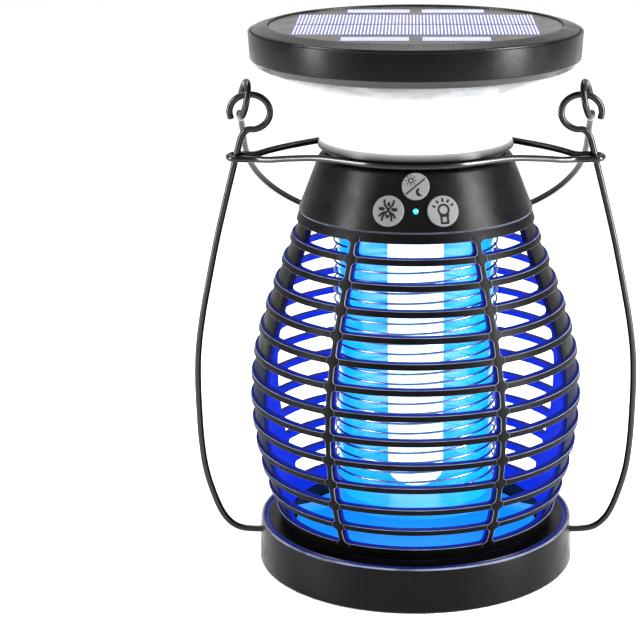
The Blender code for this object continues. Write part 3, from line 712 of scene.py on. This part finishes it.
def iconStrokes(name, radius):
    # an insect, a bulb, or a sun and a moon, as strokes in fractions of the button's radius
    line = 0.135
    if name == "Bug":
        lines = [
            ([(-0.29, 0.72), (-0.25, 0.42), (-0.03, 0.12), (0.12, -0.08), (0.34, -0.2), (0.52, -0.45)], line),
            ([(0.35, 0.7), (0.28, 0.42), (0.05, 0.12), (-0.1, -0.08), (-0.32, -0.12), (-0.58, -0.38)], line),
            ([(-0.1, -0.12), (-0.29, -0.28), (-0.37, -0.64)], line),
            ([(0.12, -0.12), (0.25, -0.3), (0.27, -0.66)], line),
            ([(-0.12, -0.24), (-0.02, -0.42), (0.1, -0.24)], line),
            ([(0.02, 0.28), (0.02, 0.58)], oval(0.2)),
            ([(-0.64, 0.12), (-0.2, 0.12)], oval(0.24)),
            ([(0.18, 0.1), (0.64, 0.1)], oval(0.24)),
        ]
    elif name == "Bulb":
        lines = [(ringPoints((0.02, 0.07), 0.33), line)]
        lines += [([(-0.22, -0.2), (-0.16, -0.4)], line), ([(-0.16, -0.38), (-0.16, -0.8)], line)]
        lines += [([(-0.2, -0.78), (0.3, -0.78)], line), ([(0.26, -0.8), (0.26, -0.38)], line)]
        lines += [([(0.26, -0.4), (0.3, -0.2)], line), ([(-0.16, -0.34), (0.26, -0.34)], line * 0.7)]
        for angle, start in ((158, 0.55), (126, 0.53), (92, 0.5), (60, 0.53), (28, 0.55)):
            ray = np.array([math.cos(math.radians(angle)), math.sin(math.radians(angle))])
            lines.append(([(0.02, 0.07) + start * ray, (0.02, 0.07) + 0.76 * ray], line))
    else:
        lines = [(ringPoints((-0.34, 0.42), 0.17), 0.08), ([(-0.72, -0.58), (0.68, 0.58)], 0.1)]
        for angle in range(0, 360, 45):
            ray = np.array([math.cos(math.radians(angle)), math.sin(math.radians(angle))])
            lines.append(([(-0.34, 0.42) + 0.29 * ray, (-0.34, 0.42) + 0.41 * ray], oval(0.1)))
        lines.append(([(0.27, -0.14), (0.12, -0.3), (0.14, -0.52), (0.26, -0.64), (0.45, -0.66)], oval(0.2)))
    return [stroke(points, width, radius) for points, width in lines]


indicator = {"height": 190.1, "hole": 1.5}
portSlot = {"height": 191, "half": (4.9, 2, 9)}


def makeHousing():
    # a leaning ring with a flat deck on top, cut for the buttons, the indicator and the charging port, and
    # the grooved collar that the lamp stands on
    low, high, wall = housing["low"], housing["high"], housing["wall"] / math.cos(housingLean)
    deck = high - housing["wall"]
    inside = housing["radius"] - (deck - low) * math.tan(housingLean) - wall
    slant = np.linspace(0, 1, 14)[:, None]
    face = (1 - slant) * (housing["radius"], low) + slant * (housing["topRadius"] + 0.5, high - 1.2)
    rest = [(housing["topRadius"] - 0.8, high), (housing["rim"], high), (housing["rim"], deck),
            (inside, deck), (housing["radius"] - wall, low)]
    corners = np.concatenate([face, rest])
    cuts = np.concatenate([[0.5], np.zeros(12), [0.7, 0.5, 0.3, 0.3, 0.4, 0.3]])
    tools = []
    for name, spot in buttons.items():
        axes, place = facePlace(spot["azimuth"], spot["height"])
        drill = drillPatch(spot["radius"] + housing["buttonGap"], 72)
        tools.append(cutter(f"hole{name}", moved(drill, axes, place)))
    axes, place = facePlace(0, indicator["height"])
    tools.append(cutter("holeLed", moved(drillPatch(indicator["hole"], 32), axes, place)))
    axes, place = facePlace(180, portSlot["height"])  # under the port's cover
    across, up, deep = portSlot["half"]
    tools.append(cutter("portSlot", moved(plates([(-across, across, -up, up, -deep, deep)]), axes, place)))
    outline = roundCorners(corners, cuts)
    # a painted highlight line along the housing's lower lip
    lip = (outline[:, 1] < low + 0.45) & (outline[:, 0] > housing["radius"] - 0.6)
    cone = turned(outline, 256, edge=lip * housing["lipHighlight"])
    makePiece("controlHousing", [cone], finishes["casing"], "tower", ["control_housing"],
              cutters=tools, sharp=30)
    collar = roundCorners([(40, 215), (46.6, 215), (47.5, 211.4), (43, 211.4), (43, 203.4), (40, 203.4)],
                          (0.4, 0.9, 0.5, 0.3, 0.3, 0.3))
    # painted light from the lamp on the collar's top, stronger nearer the lamp
    fromLamp = np.clip((collar[:, 1] - 212.4) / 2.6, 0, 1) ** 1.5 * 0.62
    makePiece("neckCollar", [turned(collar, 192, inside=fromLamp)], finishes["disc"], "tower",
              ["neck_collar"])


def makeButtons():
    # each button is a disc with a narrower stem, turned about the housing face's own normal
    for name, spot in buttons.items():
        radius = spot["radius"]
        outline = roundCorners(
            [(0, 0.9), (radius, 0.9), (radius, -1.4), (radius - 3.5, -1.6), (radius - 3.5, -4), (0, -4)],
            (0, 0.45, 0.1, 0.1, 0.1, 0), closed=False,
        )
        axes, place = facePlace(spot["azimuth"], spot["height"])
        body = f"button_{spot['node']}"
        makePiece(f"button{name}", [moved(turned(outline, 96), axes, place)], finishes["button"], body,
                  [body])
        icon = [moved(patch, axes, place) for patch in iconStrokes(name, radius)]
        makePiece(f"icon{name}", icon, finishes["ink"], body, sharp=60)
    axes, place = facePlace(0, indicator["height"])
    lens = [(0, 0.55), (0.7, 0.45), (1.1, 0.15), (1.22, -0.3), (1.22, -6.6), (0, -6.6)]
    makePiece("indicatorLens", [moved(turned(lens, 40), axes, place)], finishes["indicator"], "tower",
              ["indicator_led"])


diffuser = {"waist": [(46.4, 215.3), (44.4, 218.6), (43.5, 223.5), (44.1, 230.5), (46.2, 237.4)],
            "wall": 1.8}


def makeLamp():
    # the waist is a curve through five points, turned about Z, with the wall's inner side parallel to it
    outer = through(diffuser["waist"], 8)
    inner = outer[::-1] - (diffuser["wall"], 0)
    makePiece("lampDiffuser", [turned(np.concatenate([outer, inner]), 192)], finishes["lamp"], "tower",
              ["lamp_diffuser"])


disc = {"radius": 80, "wallTop": 267, "step": 265.1, "top": 269.9, "seat": 267, "foot": 265.4, "panel": 70.1,
        "panelTop": 269.2, "lampFade": 2.4}


def makeDisc():
    # the wall stands round the bezel, and painted light from the lamp brightens the underside, most of all
    # near the neck
    rim, top, step = disc["radius"], disc["wallTop"], disc["step"]
    shell = roundCorners(
        [(0, 237.7), (46, 238.0), (61, 244.4), (76.4, 250.9), (79.3, 254.2), (rim, top), (rim - 1.4, top),
         (rim - 1.4, step), (76.9, step), (76.4, 256), (75, 253.3), (45.4, 240.3), (0, 240.3)],
        (0, 0.4, 3, 0.9, 0.5, 0.35, 0.3, 0.2, 0.2, 0.5, 0.5, 0.3, 0), closed=False,
    )
    near = np.clip((79.5 - shell[:, 0]) / 33, 0, 1)
    underside = (shell[:, 1] < 254.1) & (shell[:, 0] > 30) & (shell[:, 0] < 79.25)
    fromLamp = (0.1 + 0.9 * near ** disc["lampFade"]) * underside
    fromLamp[len(shell) // 2:] = 0  # the inner side stays dark
    lit = np.concatenate([np.repeat(fromLamp[1:-1], 256), [0, 0]])
    makePiece("discLowerShell", [{**turned(shell, 256), "inside": lit}], finishes["disc"], "tower",
              ["disc_lower_shell"])
    seat, foot = disc["seat"], disc["foot"]
    bezel = roundCorners(
        [(78.3, foot), (78.3, 267.6), (77.8, 268.1), (72.2, 269.7), (71.3, disc["top"]), (70.4, 269.6),
         (70.4, seat), (66, seat), (66, foot)],
        (0.2, 0.3, 0.3, 0.3, 0.25, 0.25, 0.2, 0.2, 0.2),
    )
    makePiece("discBezel", [turned(bezel, 256)], finishes["grained"], "tower",
              ["disc_bezel"])


# two wide bands of upright lines, and four small cells with lines across; each band or cell has a margin
solar = {"stripes": 70, "width": 57.7, "bandInner": 1.4, "bandOuter": 35, "smallInner": 43,
         "smallOuter": 55.5, "smallWidth": (2.8, 34.3), "smallLines": 7, "margin": 1.1, "short": 0.3,
         "stripeHalf": 0.34, "lineHalf": 0.42}


def plates(boxes):
    # thin closed boxes, one for each (x low, x high, y low, y high, z low, z high)
    boxes = np.array(boxes, float)
    pick = np.array([(0, 2, 4), (1, 2, 4), (1, 3, 4), (0, 3, 4), (0, 2, 5), (1, 2, 5), (1, 3, 5), (0, 3, 5)])
    points = boxes[:, pick].reshape(-1, 3)
    corners = np.array([(3, 2, 1, 0), (4, 5, 6, 7), (0, 1, 5, 4), (1, 2, 6, 5), (2, 3, 7, 6), (3, 0, 4, 7)])
    faces = (np.arange(len(boxes))[:, None, None] * 8 + corners).reshape(-1, 4)
    return {"points": points, "faces": [faces]}


def makePanel():
    # a round glass with the cells laid on it and the cells' lines on top of them
    top = disc["panelTop"]
    edge, face, under = disc["panel"], top - 0.12, disc["seat"] + 0.3
    sheet = [(0, face), (edge, face), (edge, under), (0, under)]
    backing = roundCorners(sheet, (0, 0.2, 0.2, 0), closed=False)
    makePiece("panelBacking", [turned(backing, 192)], finishes["panel"], "tower",
              ["solar_panel"])
    cellLevel, lineLevel = (top - 0.14, top - 0.04), (top - 0.06, top)
    wide, margin, short = solar["width"], solar["margin"], solar["short"]
    stripe, thick = solar["stripeHalf"], solar["lineHalf"]
    cells, lines = [], []
    for side in (-1, 1):
        low, high = sorted((side * solar["bandInner"], side * solar["bandOuter"]))
        cells.append((-wide, wide, low, high, *cellLevel))
        centres = np.linspace(-wide + margin, wide - margin, solar["stripes"])
        lines += [(x - stripe, x + stripe, low + short, high - short, *lineLevel) for x in centres]
        low, high = sorted((side * solar["smallInner"], side * solar["smallOuter"]))
        for hand in (-1, 1):
            left, right = sorted(hand * edge for edge in solar["smallWidth"])
            cells.append((left, right, low, high, *cellLevel))
            rows = np.linspace(low + margin, high - margin, solar["smallLines"])
            lines += [(left + short, right - short, y - thick, y + thick, *lineLevel) for y in rows]
    makePiece("solarCells", [plates(cells)], finishes["cell"], "tower")
    makePiece("cellLines", [plates(lines)], finishes["line"], "tower")


def dressNodes():
    # the nodes that keep their CAD shape get this object's own finishes
    looks = {
        "inner": ["bottom_cover", "lock_ring", "housing_floor", "battery_cradle", "lamp_socket", "hv_module",
                  "tact_switch_bug", "tact_switch_bulb", "tact_switch_sun_moon"],
        "steel": ["bottom_screw_1", "bottom_screw_2", "bottom_screw_3", "bottom_screw_4", "charge_port"],
        "insulator": ["insect_tray", "grid_spider"],
        "board": ["control_board"],
        "cellWrap": ["battery_cell"],
        "lampCore": ["lamp_core", "led_board"],
        "rubber": ["port_cover"],
    }
    for look, names in looks.items():
        for name in names:
            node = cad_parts[name]
            for place in node.material_slots:
                place.material = finishes[look]
    print("nodes dressed:", sum(map(len, looks.values())))


makeCamera()
makeStudio()
finishes = makeFinishes()
print("finishes made:", len(finishes))
makeBase()
makeSideWires()
makeNeckRing()
makeHandle()
makeCage()
makeGrid()
makeHousing()
makeButtons()
makeLamp()
makeDisc()
makePanel()
dressNodes()
